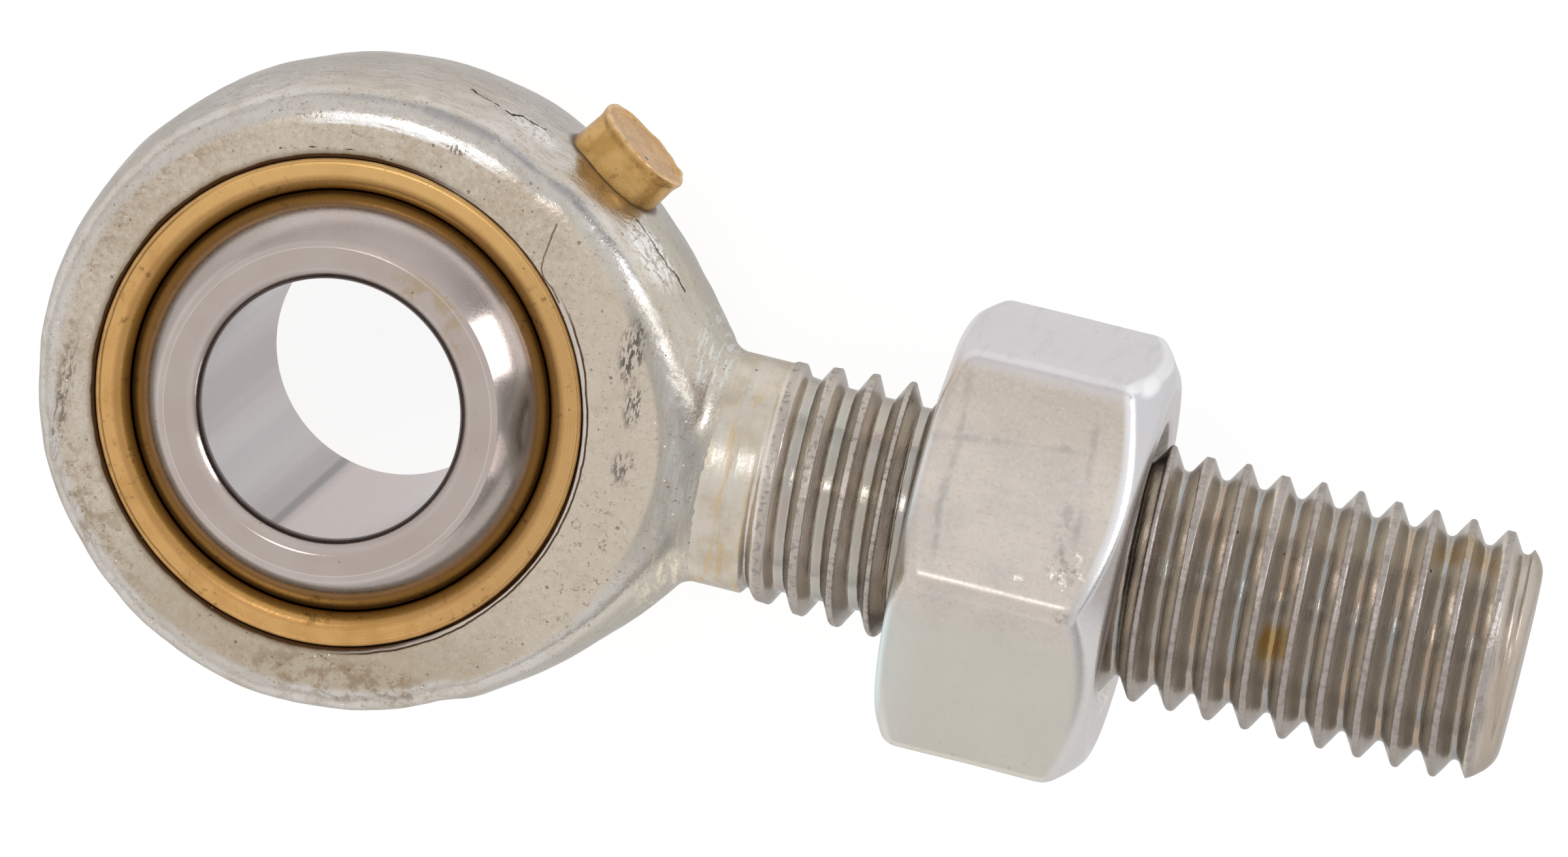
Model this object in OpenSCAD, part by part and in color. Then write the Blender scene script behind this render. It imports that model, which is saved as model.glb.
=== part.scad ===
// Male rod end: a forged eye with a threaded shank, a brass race, a steel ball
// with a bore, a brass grease nipple in the rim and a hexagon lock nut.
// The origin is the centre of the ball. +Z is the axis of its bore and +X runs
// along the shank to the thread tip.

/* [Ball] */
// Bore through the ball
bore_d = 12; // [9:0.1:12.4]
// Width of the ball across its two flat faces
ball_w = 16; // [15:0.1:16.6]
// Diameter of the ball's sphere
ball_d = 22.225; // [21.6:0.025:22.6]
// Width of the rounded mouth at both ends of the bore
bore_mouth_w = 0.75; // [0.3:0.05:0.9]
// Depth to which the mouth runs into the bore
bore_mouth_depth = 1; // [0.9:0.05:1.3]
// Width of the broken edge between a flat face and the sphere
ball_edge = 0.15; // [0.1:0.05:0.5]

/* [Race] */
// Thinnest wall of the race, behind the middle of the sphere
race_wall = 1.14; // [0.9:0.02:2]
// Gap between the sphere and the mouth of the race, in the plane of its face
race_mouth_gap = 0.4; // [0.3:0.02:0.8]
// Width of the brass ring that shows in the face of the eye
race_band_w = 1.45; // [1:0.05:1.6]
// How far the race lies below the face of the eye
race_inset = 0.05; // [0:0.01:0.3]
// Radius of the rounded inner edge of the mouth
race_lip_r = 0.75; // [0.3:0.05:0.9]
// Running clearance between ball and race, measured on the radius
ball_clearance = 0.05; // [0.02:0.01:0.1]
// Width of the grease groove round the inside of the race
grease_groove_w = 2; // [1.6:0.1:3]
// Depth of the grease groove below the sphere
grease_groove_depth = 0.4; // [0.2:0.05:0.6]

/* [Eye] */
// Thinnest wall of the eye, outside the race
eye_wall = 2.75; // [2.3:0.05:4.5]
// Width of the eye between its flat faces
eye_w = 12; // [11.6:0.1:12]
// How far the rim leans past the bore centre towards the shank
eye_offset = 0.25; // [0:0.05:0.5]
// Radius of the crowned rim, seen in section
eye_crown_r = 20.7; // [16:0.1:40]
// Radius of the rounded edge between rim and flat face
eye_edge_r = 0.9; // [0.4:0.05:1.4]
// Width of the lip of the eye that is rolled over the race
eye_lip_w = 0.9; // [0.6:0.05:1.4]

/* [Neck] */
// How far the foot of the neck lies outside the radius of the eye
neck_reach = 1.1; // [0.9:0.05:3]
// Radius of the neck at its foot
neck_foot_r = 6.1; // [6.05:0.05:6.6]
// Angle between the shank and the place where the neck runs into the rim
neck_root_angle = 57; // [54:0.5:59]
// Height of the neck above the rim at that place
neck_root_lift = 0.2; // [0.1:0.02:0.4]
// Radius of the bulge of the neck flanks, seen in plan
neck_crown_r = 25; // [16:0.5:60]
// Radius of the fillet at the foot of the neck
neck_fillet_r = 0.5; // [0.2:0.05:0.5]

/* [Shank] */
// Outer diameter of the thread
thread_d = 11.76; // [11.2:0.02:12]
// Diameter of the plain shank before the thread
plain_d = 10.9; // [10:0.05:11]
// Length of the plain shank from the foot of the neck
plain_len = 3; // [2:0.1:3.6]
// Length of the run-out between the plain shank and the full thread
runout_len = 1.6; // [0.6:0.1:2.2]
// Distance from the ball centre to the tip of the shank
shank_x = 54.5; // [50:0.1:60]
// Length of the chamfer at the tip
tip_chamfer_len = 1.5; // [0.5:0.1:2.5]
// Diameter of the flat end of the tip
tip_d = 9.4; // [8:0.1:11]

/* [Grease nipple] */
// Angle of the nipple round the bore axis, from the shank towards +Y
nipple_angle = 52.3; // [45:0.1:70]
// Lean of the nipple away from the shank
nipple_lean = 3; // [0:0.5:5]
// Height of the nipple's head above its spot face
nipple_head_h = 2.4; // [1.8:0.05:4]
// Diameter of the nipple's head
nipple_d = 4.9; // [4.2:0.05:5.2]
// Diameter of the waist below the peened edge of the head
nipple_waist_d = 4.74; // [4.1:0.02:4.8]
// Height of the peened edge of the head
nipple_edge_h = 0.35; // [0.2:0.05:0.6]
// Depth of the dish in the nipple's end
nipple_dish = 0.12; // [0.05:0.01:0.2]
// Diameter of the stem that is pressed into the eye
nipple_stem_d = 3.2; // [2.6:0.1:3.6]
// Wall left between the foot of the stem and the race
nipple_stem_wall = 0.85; // [0.5:0.05:1.4]
// Depth of the spot face below the radius of the eye
nipple_seat_depth = 0.1; // [0.1:0.02:0.4]
// Diameter of the grease passage from the nipple to the race
passage_d = 1.5; // [1:0.1:1.6]

/* [Lock nut] */
// Size of the nut across its flats
nut_af = 19; // [18:0.05:19.4]
// Height of the nut along the shank
nut_h = 9.8; // [7:0.1:11]
// Distance from the ball centre to the nut's inner face
nut_x = 26.7; // [23:0.1:42]
// Turn of the nut about the shank
nut_turn = 2; // [0:1:59]
// Diameter of the round bearing face on the side of the eye
nut_face_d = 17.6; // [15:0.1:18.4]
// Diameter of the smaller round face on the side of the tip
nut_back_face_d = 16.8; // [15:0.1:18.4]
// Angle of the corner chamfers to the round faces
nut_chamfer_angle = 30; // [15:1:45]
// Largest diameter of the countersink at each end of the nut's bore
nut_sink_d = 13.7; // [12.4:0.1:14]
// Running clearance between nut and thread, measured on the radius
nut_clearance = 0.05; // [0.02:0.01:0.1]

/* [Hidden] */

$fn = 96;
// Small overlap that lets a cut run cleanly out of a face
eps = 0.05;
// Steps along a rounded edge and along the crown of the rim
edge_steps = 5;
crown_steps = 12;
// Steepest point of the eye's rounded edge, from where it runs straight on to the flat face
edge_end = 75;
ball_r = ball_d / 2;
race_half_w = eye_w / 2 - race_inset;
race_sphere_r = ball_r + ball_clearance;
race_r = race_sphere_r + race_wall;
race_mouth_r = sqrt(race_sphere_r * race_sphere_r - race_half_w * race_half_w) + race_mouth_gap;
race_face_r = race_mouth_r + race_band_w;
eye_r = race_r + eye_wall;
neck_x = eye_r + neck_reach;
plain_end_x = neck_x + plain_len;
nipple_seat_r = eye_r - nipple_seat_depth;
nipple_stem_len = nipple_seat_r - race_r - nipple_stem_wall;
nut_bore_r = thread_d / 2 + nut_clearance;
nut_corner_r = nut_af / 2 / cos(30);
nut_chamfer_len = (nut_corner_r - nut_face_d / 2) * tan(nut_chamfer_angle);
nut_back_chamfer_len = (nut_corner_r - nut_back_face_d / 2) * tan(nut_chamfer_angle);
forged = [0.72, 0.71, 0.67];
brass = [0.78, 0.6, 0.3];
polished = [0.66, 0.63, 0.62];

// Points on an arc round c, from angle a0 to angle a1 in n steps
function arc(c, r, a0, a1, n) =
    [for (i = [0:n]) c + r * [cos(a0 + (a1 - a0) * i / n), sin(a0 + (a1 - a0) * i / n)]];

// Centre of the circle with radius r through the points a and b, on the right of a to b
function arc_centre(a, b, r) =
    let (mid = (a + b) / 2, half = norm(b - a) / 2, along = (b - a) / norm(b - a))
    mid + [along[1], -along[0]] * sqrt(r * r - half * half);

// Angle of the point p seen from c
function angle_from(c, p) = atan2(p[1] - c[1], p[0] - c[0]);

// Half outline of the race's outside, as far as a face at the height face_z
function race_outline(face_z) = [
    [0, -face_z],
    [race_face_r, -face_z],
    [race_face_r, -race_half_w],
    [race_r, -race_half_w + eye_lip_w],
    [race_r, race_half_w - eye_lip_w],
    [race_face_r, race_half_w],
    [race_face_r, face_z],
    [0, face_z]
];

// Turns a body of revolution about Z so that it lies along the shank
module along_shank() {
    rotate([0, 90, 0])
        children();
}

// Stands a body along the nipple's own axis, with its foot at the spot face
module at_nipple() {
    rotate([0, 0, nipple_angle])
        translate([nipple_seat_r, 0, 0])
            rotate([0, 0, nipple_lean])
                rotate([0, 90, 0])
                    children();
}

// Half section of the eye: a crowned rim with rounded edges that run on past both flat faces
module eye_section() {
    edge_z = eye_w / 2 - eye_edge_r;
    crown_c = [eye_r - eye_crown_r, 0];
    edge_x = crown_c[0] + sqrt(pow(eye_crown_r - eye_edge_r, 2) - edge_z * edge_z);
    tangent = asin(edge_z / (eye_crown_r - eye_edge_r));
    run = eye_edge_r / 4;
    end_x = edge_x + eye_edge_r * cos(edge_end) - run * sin(edge_end);
    end_z = edge_z + eye_edge_r * sin(edge_end) + run * cos(edge_end);
    polygon(concat(
        [[0, end_z], [0, -end_z], [end_x, -end_z]],
        arc([edge_x, -edge_z], eye_edge_r, -edge_end, -tangent, edge_steps),
        arc(crown_c, eye_crown_r, -tangent, tangent, crown_steps),
        arc([edge_x, edge_z], eye_edge_r, tangent, edge_end, edge_steps),
        [[end_x, end_z]]
    ));
}

// Half section of the neck and the fillet at its foot, with the shank axis upright
module neck_section() {
    foot = [neck_foot_r, neck_x];
    root_r = eye_r + neck_root_lift;
    root = [root_r * sin(neck_root_angle), eye_offset + root_r * cos(neck_root_angle)];
    crown_c = arc_centre(foot, root, neck_crown_r);
    fillet_c = [plain_d / 2 + neck_fillet_r, neck_x + neck_fillet_r];
    polygon(concat(
        [[0, 0], [root[0], 0]],
        arc(crown_c, neck_crown_r, angle_from(crown_c, root), angle_from(crown_c, foot), edge_steps),
        arc(fillet_c, neck_fillet_r, -90, -180, edge_steps),
        [[0, neck_x + neck_fillet_r]]
    ));
}

// Eye and neck together, cut off by the two flat faces of the eye
module eye_and_neck() {
    intersection() {
        union() {
            translate([eye_offset, 0, 0])
                rotate_extrude()
                    eye_section();
            along_shank()
                rotate_extrude()
                    neck_section();
        }
        translate([-2 * eye_r, -2 * eye_r, -eye_w / 2])
            cube([2 * eye_r + shank_x, 4 * eye_r, eye_w]);
    }
}

// The plain shank, the thread's outer cylinder and the chamfered tip
module shank() {
    along_shank()
        rotate_extrude()
            polygon([
                [0, 0],
                [plain_d / 2, 0],
                [plain_d / 2, plain_end_x],
                [thread_d / 2, plain_end_x + runout_len],
                [thread_d / 2, shank_x - tip_chamfer_len],
                [tip_d / 2, shank_x],
                [0, shank_x]
            ]);
}

// The seat of the race: a bore whose two mouths are rolled in over the race
module race_seat() {
    rotate_extrude()
        polygon(race_outline(eye_w / 2 + eps));
}

// Eye, neck and threaded shank, forged in one piece
module housing() {
    color(forged)
        difference() {
            union() {
                eye_and_neck();
                shank();
            }
            race_seat();
            at_nipple()
                translate([0, 0, -nipple_stem_len])
                    cylinder(d = nipple_stem_d, h = nipple_stem_len + eps);
            at_nipple()
                cylinder(d = nipple_d + 2 * eps, h = nipple_head_h);
            at_nipple()
                translate([0, 0, -nipple_stem_len - nipple_stem_wall - 1])
                    cylinder(d = passage_d, h = nipple_stem_wall + 2);
        }
}

// The open mouths of the race, each with a rounded lip
module race_mouths() {
    lip_r = race_mouth_r + race_lip_r;
    lip_z = race_half_w - race_lip_r;
    rotate_extrude()
        polygon(concat(
            [[0, race_half_w + eps], [0, -race_half_w - eps], [lip_r, -race_half_w - eps]],
            arc([lip_r, -lip_z], race_lip_r, -90, -180, edge_steps),
            arc([lip_r, lip_z], race_lip_r, 180, 90, edge_steps),
            [[lip_r, race_half_w + eps]]
        ));
}

// Brass race: it holds the ball between two rounded lips, with a grease groove inside
module race() {
    color(brass)
        difference() {
            rotate_extrude()
                polygon(race_outline(race_half_w));
            sphere(r = race_sphere_r, $fn = 180);
            race_mouths();
            cylinder(r = race_sphere_r + grease_groove_depth, h = grease_groove_w, center = true);
            at_nipple()
                translate([0, 0, ball_r - nipple_seat_r - 1])
                    cylinder(d = passage_d, h = race_r - ball_r + 2);
        }
}

// Steel ball with two flat faces and a bore with rounded mouths
module ball() {
    half_w = ball_w / 2;
    flat_r = sqrt(ball_r * ball_r - half_w * half_w);
    edge_r = flat_r - ball_edge;
    edge_fall = ball_r * tan(asin(flat_r / ball_r) / 2);
    bore_r = bore_d / 2;
    mouth_r = (bore_mouth_w * bore_mouth_w + bore_mouth_depth * bore_mouth_depth) / 2 / bore_mouth_w;
    mouth_c = [bore_r + mouth_r, half_w - bore_mouth_depth];
    mouth_end = angle_from(mouth_c, [bore_r + bore_mouth_w, half_w]);
    color(polished)
        difference() {
            intersection() {
                sphere(r = ball_r, $fn = 180);
                rotate_extrude()
                    polygon([
                        [0, -half_w],
                        [edge_r, -half_w],
                        [edge_r + ball_r, -half_w + edge_fall],
                        [edge_r + ball_r, half_w - edge_fall],
                        [edge_r, half_w],
                        [0, half_w]
                    ]);
            }
            rotate_extrude()
                polygon(concat(
                    [[0, -half_w - eps], [bore_r + bore_mouth_w, -half_w - eps]],
                    arc([mouth_c[0], -mouth_c[1]], mouth_r, -mouth_end, -180, edge_steps),
                    arc(mouth_c, mouth_r, 180, mouth_end, edge_steps),
                    [[bore_r + bore_mouth_w, half_w + eps], [0, half_w + eps]]
                ));
        }
}

// Brass grease nipple: a dished head with a peened edge on a pressed-in stem
module grease_nipple() {
    color(brass)
        at_nipple()
            rotate_extrude()
                polygon([
                    [0, -nipple_stem_len],
                    [nipple_stem_d / 2, -nipple_stem_len],
                    [nipple_stem_d / 2, 0],
                    [nipple_d / 2, 0],
                    [nipple_waist_d / 2, nipple_head_h - nipple_edge_h],
                    [nipple_d / 2, nipple_head_h - nipple_edge_h / 3],
                    [nipple_d / 2 - nipple_edge_h / 3, nipple_head_h],
                    [nipple_d / 2 - nipple_edge_h, nipple_head_h - nipple_dish],
                    [0, nipple_head_h - nipple_dish]
                ]);
}

// Hexagon lock nut with chamfered corners and a countersunk bore
module lock_nut() {
    face_r = nut_face_d / 2;
    back_face_r = nut_back_face_d / 2;
    sink_r = nut_sink_d / 2;
    sink_len = sink_r - nut_bore_r;
    color(forged)
        translate([nut_x, 0, 0])
            rotate([nut_turn, 0, 0])
                along_shank()
                    difference() {
                        intersection() {
                            cylinder(r = nut_corner_r, h = nut_h, $fn = 6);
                            rotate_extrude()
                                polygon([
                                    [0, 0],
                                    [face_r, 0],
                                    [nut_corner_r, nut_chamfer_len],
                                    [nut_corner_r, nut_h - nut_back_chamfer_len],
                                    [back_face_r, nut_h],
                                    [0, nut_h]
                                ]);
                        }
                        rotate_extrude()
                            polygon([
                                [0, -eps],
                                [sink_r + eps, -eps],
                                [nut_bore_r, sink_len],
                                [nut_bore_r, nut_h - sink_len],
                                [sink_r + eps, nut_h + eps],
                                [0, nut_h + eps]
                            ]);
                    }
}

housing();
race();
ball();
grease_nipple();
lock_nut();
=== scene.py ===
"""Male rod end with lock nut: the look of the part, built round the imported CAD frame.

The frame is the CAD's: the origin is the centre of the ball, +Z the axis of its bore,
+X runs along the shank. The shapes are worked out in millimetres and stored in metres.
"""
import math

import bmesh
import bpy
import numpy as np
from mathutils import Matrix, Vector


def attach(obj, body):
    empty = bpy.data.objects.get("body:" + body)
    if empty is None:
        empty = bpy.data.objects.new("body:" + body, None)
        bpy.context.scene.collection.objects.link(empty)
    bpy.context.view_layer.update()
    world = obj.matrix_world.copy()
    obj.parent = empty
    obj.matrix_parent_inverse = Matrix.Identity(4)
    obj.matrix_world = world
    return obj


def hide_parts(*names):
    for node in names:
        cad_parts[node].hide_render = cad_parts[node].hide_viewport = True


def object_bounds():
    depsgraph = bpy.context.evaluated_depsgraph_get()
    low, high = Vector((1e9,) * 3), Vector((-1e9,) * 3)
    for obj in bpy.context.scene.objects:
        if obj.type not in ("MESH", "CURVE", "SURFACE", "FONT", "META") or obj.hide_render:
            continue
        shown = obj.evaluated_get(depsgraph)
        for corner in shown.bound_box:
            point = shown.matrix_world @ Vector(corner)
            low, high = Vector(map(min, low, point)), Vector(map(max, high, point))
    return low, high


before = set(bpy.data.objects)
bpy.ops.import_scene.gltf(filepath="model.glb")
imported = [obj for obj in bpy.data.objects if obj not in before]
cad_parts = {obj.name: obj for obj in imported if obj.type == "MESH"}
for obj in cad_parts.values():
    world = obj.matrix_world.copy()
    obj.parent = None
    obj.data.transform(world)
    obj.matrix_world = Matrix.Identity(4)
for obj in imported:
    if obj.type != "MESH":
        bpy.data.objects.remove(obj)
cad_low, cad_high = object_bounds()

MM = 0.001
TAU = 2 * math.pi

# Sizes in millimetres, the same as in the CAD source
BALL_R = 11.1125
BALL_HALF_W = 8.0
BORE_R = 6.0
MOUTH_W = 0.75
EYE_HALF_W = 6.0
EYE_R = 15.0525
EYE_OFFSET = 0.25
CROWN_R = 20.7
RACE_FACE_Z = 5.95
RACE_MOUTH_R = 9.845
RACE_FACE_R = 11.295
RACE_R = 12.3025
RACE_LIP_R = 0.75
PLAIN_R = 5.41
THREAD_R = 5.88
ROOT_R = 4.88
PITCH = 1.75
PLAIN_END = 19.25
TIP_X = 54.5
CREST_X = 38.69
TOP_ANGLE = math.radians(13.4)
NUT_X = 26.7
NUT_H = 9.8
NUT_AF = 19.0
NUT_TURN = 2.0
NUT_BORE_R = 5.93
NIPPLE_ANGLE = 52.3
NIPPLE_LEAN = 3.0
NIPPLE_SEAT = 14.9525

# Ends and core circles of the meshes
EYE_END_X = 17.1
SHANK_START_X = 16.5
EYE_CORE_R = 12.8
NUT_CORE_R = 7.5
ROUND_COLS = 320

# Sizes of the neck in its own section, in which the shank axis stands upright
NECK_ROOT_R = 15.2525
NECK_ROOT_ANGLE = math.radians(57)
NECK_ROOT = np.array([NECK_ROOT_R * math.sin(NECK_ROOT_ANGLE),
                      EYE_OFFSET + NECK_ROOT_R * math.cos(NECK_ROOT_ANGLE)])
NECK_FOOT = np.array([6.1, 16.1525])
NECK_R = 25.0
NECK_START_X = 7.8
# How far the real neck lies inside that arc and leans aside, and the nut sits off its axis
NECK_INSET = 0.135
NECK_SKEW = 0.035
NUT_SHIFT = 0.11
# Crests of the thread that are worn lower: place and depth
WORN_CRESTS = ((CREST_X, 0.2), (42.19, 0.2), (47.44, 0.1), (52.6, 0.18))
# The nut's chamfer towards the tip as a cone, and the place of its point
CONE_SLOPE = 0.662
CONE_TIP_X = 42.33
NUT_SINK_R = 6.85

# The camera of the photograph, and where the lamps look, in metres
CAMERA_LENS = 173.57
CAMERA_AT = (0.06166, 0.08182, 0.33332)
CAMERA_RIGHT = (0.96370, 0.20513, -0.17091)
CAMERA_BACK = (0.12229, 0.22992, 0.96550)
LAMP_TARGET = (0.01, 0, 0)


# ---- shapes

def round_union(a, b, r):
    """Distance to the union of two shapes, with a fillet of radius r in the inner corner."""
    u = np.maximum(r - a, 0)
    v = np.maximum(r - b, 0)
    return np.maximum(r, np.minimum(a, b)) - np.sqrt(u * u + v * v)


def round_cut(a, b, r):
    """Distance to what two shapes share, with an edge rounded to radius r."""
    u = np.maximum(r + a, 0)
    v = np.maximum(r + b, 0)
    return np.minimum(-r, np.maximum(a, b)) + np.sqrt(u * u + v * v)


def waves(x, y, z, seed, size, count=14):
    """Smooth, repeatable unevenness between about -1 and 1, with features of the given size."""
    rng = np.random.RandomState(seed)
    total = 0
    for _ in range(count):
        d = rng.normal(size=3)
        d *= rng.uniform(0.6, 1.5) * TAU / size / np.linalg.norm(d)
        total = total + np.sin(d[0] * x + d[1] * y + d[2] * z + rng.uniform(0, TAU))
    return total / math.sqrt(count)


def spread(marks):
    """Values from a list of (from, to, step), joined without repeats."""
    out = []
    for a, b, step in marks:
        n = max(1, int(round(abs(b - a) / step)))
        out.extend(np.linspace(a, b, n, endpoint=False))
    out.append(marks[-1][1])
    return np.array(out)


def grid_faces(rows, cols, wrap_rows=False, wrap_cols=True):
    """Quads of a grid of rows times cols points, as an array of four indices each."""
    r = np.arange(rows if wrap_rows else rows - 1)
    c = np.arange(cols if wrap_cols else cols - 1)
    i, j = np.meshgrid(r, c, indexing="ij")
    i2 = (i + 1) % rows
    j2 = (j + 1) % cols
    return np.stack([i * cols + j, i * cols + j2, i2 * cols + j2, i2 * cols + j], -1).reshape(-1, 4)


def add_object(name, data):
    obj = bpy.data.objects.new(name, data)
    bpy.context.scene.collection.objects.link(obj)
    return obj


def add_mesh(name, points, faces, body, node, material, weld=False):
    """A smooth-shaded mesh that stands for a CAD node and rides on a body."""
    points = np.asarray(points, float).reshape(-1, 3) * MM
    faces = np.asarray(faces)
    mesh = bpy.data.meshes.new(name)
    mesh.from_pydata(points.tolist(), [], faces.tolist())
    if weld:
        bm = bmesh.new()
        bm.from_mesh(mesh)
        bmesh.ops.remove_doubles(bm, verts=bm.verts, dist=2e-6)
        bmesh.ops.dissolve_degenerate(bm, edges=bm.edges, dist=1e-6)
        bm.to_mesh(mesh)
        bm.free()
    mesh.validate()
    mesh.polygons.foreach_set("use_smooth", [True] * len(mesh.polygons))
    mesh.update()
    mesh.materials.append(material)
    obj = add_object(name, mesh)
    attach(obj, body)
    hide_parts(node)


def revolve(profile, cols):
    """Points of a (radius, height) profile turned about Z."""
    profile = np.asarray(profile, float)
    a = np.arange(cols) * TAU / cols
    pts = np.empty((len(profile), cols, 3))
    pts[..., 0] = profile[:, :1] * np.cos(a)
    pts[..., 1] = profile[:, :1] * np.sin(a)
    pts[..., 2] = profile[:, 1:]
    return pts


def rounded(corners, steps=5):
    """A profile from (r, z, radius) corners, each rounded with its own radius."""
    pts = [np.array(corners[0][:2], float)]
    for k in range(1, len(corners) - 1):
        p = np.array(corners[k][:2], float)
        rad = corners[k][2]
        u = np.array(corners[k - 1][:2], float) - p
        v = np.array(corners[k + 1][:2], float) - p
        lu, lv = np.linalg.norm(u), np.linalg.norm(v)
        u, v = u / lu, v / lv
        half = math.acos(max(-1.0, min(1.0, float(u @ v)))) / 2
        if rad <= 0 or abs(half - math.pi / 2) < 0.01:
            pts.append(p)
            continue
        t = min(rad / math.tan(half), 0.48 * lu, 0.48 * lv)
        r = t * math.tan(half)
        c = p + (u + v) / np.linalg.norm(u + v) * (r / math.sin(half))
        a0 = math.atan2(*(p + u * t - c)[::-1])
        a1 = math.atan2(*(p + v * t - c)[::-1])
        da = (a1 - a0 + math.pi) % TAU - math.pi
        for a in np.linspace(a0, a0 + da, steps + 1):
            pts.append(c + r * np.array([math.cos(a), math.sin(a)]))
    pts.append(np.array(corners[-1][:2], float))
    return np.array(pts)


def solve_section(fn, core, ca, sa, directions, far):
    """Surface points round a core ring, as radius and height in each direction and half-plane."""
    lo = np.zeros((len(directions), len(ca)))
    hi = np.full_like(lo, far)
    dr = np.cos(directions)[:, None]
    dz = np.sin(directions)[:, None]
    for _ in range(30):
        mid = (lo + hi) / 2
        inside = fn(core + mid * dr, mid * dz, ca, sa) < 0
        lo = np.where(inside, mid, lo)
        hi = np.where(inside, hi, mid)
    return core + lo * dr, lo * dz


# ---- eye and neck

def neck_centre():
    """Centre of the arc that the neck's flank follows."""
    mid = (NECK_ROOT + NECK_FOOT) / 2
    along = NECK_FOOT - NECK_ROOT
    half = np.linalg.norm(along) / 2
    along = along / (2 * half)
    return mid - np.array([along[1], -along[0]]) * math.sqrt(NECK_R ** 2 - half ** 2)


NECK_C = neck_centre()


def eye_body(x, y, z):
    """Signed distance to the forged eye, its neck and the start of the shank."""
    rho = np.sqrt((x - EYE_OFFSET) ** 2 + y * y)
    eye = np.sqrt((rho - (EYE_R - CROWN_R)) ** 2 + z * z) - CROWN_R
    ring = np.sqrt(y * y + z * z)
    neck = np.sqrt((ring - NECK_C[0]) ** 2 + (x - NECK_C[1]) ** 2) - NECK_R
    neck = neck + NECK_SKEW * np.clip(y / 8, -1, 1) + NECK_INSET
    neck = round_cut(neck, NECK_START_X - x, 1.0)
    outer = round_union(eye, neck, 1.2)
    edge = 1.2 + 0.1 * waves(x, y, z, 5, 14)
    body = round_cut(outer, np.abs(z) - EYE_HALF_W, edge)
    shank = np.where(x > 5.0, ring - PLAIN_R + 0.05 * np.clip((x - 16.95) / 0.15, 0, 1), 9.0)
    return round_union(body, shank, 0.42)


def skin(x, y, z):
    """The same with the unevenness of a forging, which fades out on the flat faces."""
    flat = np.clip((EYE_HALF_W - np.abs(z)) / 0.5, 0, 1)
    turned = 1 - np.clip((x - 16.0) / 0.5, 0, 1)
    lump = 0.13 * np.exp(-((x - 14.2) ** 2 + (y - 9.3) ** 2 + (z - 0.6) ** 2) / 1.1)
    rough = (0.035 * waves(x, y, z, 3, 6) + 0.015 * waves(x, y, z, 4, 2.4)
             + 0.006 * waves(x, y, z, 6, 1.1))
    dent = 0.2 * np.exp(-((x - 9.4) ** 2 + (y + 12.2) ** 2) / 9)
    return eye_body(x, y, z) + flat * (turned * rough + dent) - lump


def build_eye(material):
    """The eye and neck: sections through the bore axis, joined by the mouth of the seat."""
    half = spread([(0, 22, 0.34), (22, 34, 0.5), (34, 180, 0.72)])
    angle = np.radians(np.concatenate([-half[::-1][:-1], half[:-1]]))
    ca, sa = np.cos(angle), np.sin(angle)

    def fn(r, z, ca, sa):
        return np.maximum(skin(r * ca, r * sa, z + 0 * r), r * ca - EYE_END_X)

    up = spread([(90, 84, 2.0), (84, 60, 0.8), (60, 46, 1.15), (46, 0, 1.9)])
    directions = np.radians(np.concatenate([up, -up[::-1][1:]]))
    r, z = solve_section(fn, EYE_CORE_R, ca, sa, directions, 9.0)

    # The mouth of the seat opens a hair where the rolled lip stands off the brass
    mouth = RACE_FACE_R + 0.006 + 0.13 * np.exp(-((np.degrees(angle) + 28) / 34) ** 2)
    inner_r, inner_z = [], []
    for dr, dz in ((0, -0.75), (0, -0.12), (0.02, -0.05), (0.06, -0.012), (0.12, 0), (0.3, 0), (0.8, 0)):
        inner_r.append(mouth + dr)
        inner_z.append(np.full(len(angle), EYE_HALF_W + dz))
    rows_r = np.array(inner_r + list(r) + inner_r[::-1])
    rows_z = np.array(inner_z + list(z) + [-v for v in inner_z[::-1]])
    pts = np.stack([rows_r * ca, rows_r * sa, rows_z], -1)
    faces = grid_faces(len(rows_r), len(angle))
    add_mesh("eye", pts, faces, "housing", "housing", material)


# ---- shank and thread

def thread_profile(p, x):
    """Radius of the full thread at place x, for a phase from -0.5 to 0.5 with the crest at 0."""
    q = np.abs(p) * PITCH
    crest_half = 0.11
    root_half = np.interp(x, [24, 30], [0.24, 0.15])
    slope = (THREAD_R - ROOT_R) / (PITCH / 2 - crest_half - root_half)
    line = THREAD_R - (q - crest_half) * slope
    k = 0.13
    top = THREAD_R - k
    line = np.where(line > top, top + k * np.tanh((line - top) / k), line)
    k = np.interp(x, [24, 30], [0.06, 0.2])
    low = ROOT_R + k
    return np.where(line < low, low - k * np.tanh((low - line) / k), line)


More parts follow.
